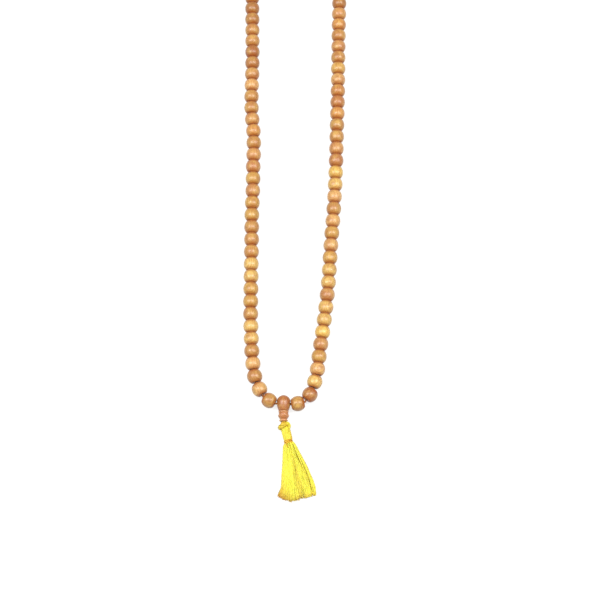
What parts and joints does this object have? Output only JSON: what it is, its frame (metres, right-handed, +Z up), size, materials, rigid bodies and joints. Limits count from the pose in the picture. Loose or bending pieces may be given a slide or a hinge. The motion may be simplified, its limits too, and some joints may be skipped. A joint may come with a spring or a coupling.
{
  "type": "mala necklace",
  "caption": "Prayer-bead mala lying flat: a long closed loop of turned wooden beads with a guru bead, a tower bead and a tassel.",
  "frame": {"origin": "on the surface that the mala lies on, under the middle of its whole outline", "axes": "+Z up from the surface, +Y from the tassel to the top of the loop, +X to the right as seen from above"},
  "size_m": [0.057, 0.412, 0.008],
  "materials": {
    "counting_bead_wood": "turned sandalwood-coloured wood, smooth with a soft wax sheen",
    "guru_wood": "darker reddish turned wood, waxed",
    "stringing_thread": "twisted brown thread, matte",
    "tassel_yarn": "lemon yellow silky yarn",
    "tie_yarn": "golden yellow twisted thread"
  },
  "bodies": {
    "root": {"beads_left": "counting_bead_wood", "beads_right": "counting_bead_wood", "guru_bead": "guru_wood", "tower_bead": "guru_wood", "thread": "stringing_thread", "tassel": "tassel_yarn", "tassel_tie": "tie_yarn"}
  },
  "joints": []
}
